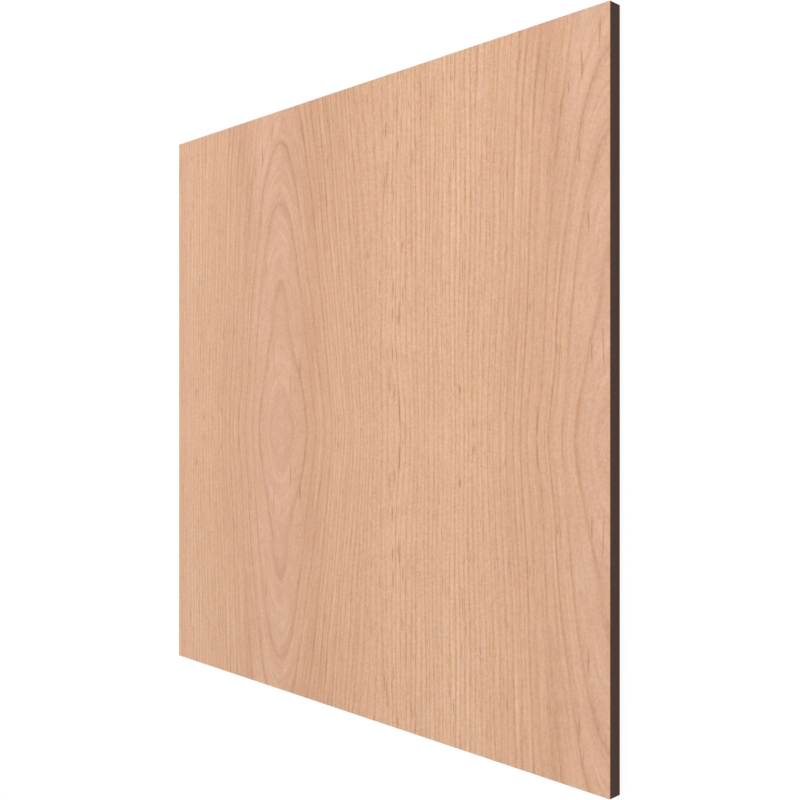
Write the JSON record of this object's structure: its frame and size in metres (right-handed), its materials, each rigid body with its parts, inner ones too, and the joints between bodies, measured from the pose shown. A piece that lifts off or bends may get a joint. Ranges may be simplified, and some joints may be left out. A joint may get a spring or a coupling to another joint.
{
  "type": "wood-grain compact panel",
  "caption": "Flat square panel with a wood-grain face and square-cut edges that show its dark brown core, for facing walls, doors and furniture.",
  "frame": {"origin": "centre of the back face, which the panel lies on", "axes": "+Z is square to the panel, out of the grained face. +Y is along the grain, up in the picture. +X is across the grain, towards the edge that the picture shows."},
  "size_m": [0.6, 0.6, 0.013],
  "materials": {
    "panel": "satin, straight and cathedral wood grain on the face, dark brown core on the edges"
  },
  "bodies": {
    "root": {"panel": "panel"}
  },
  "joints": []
}
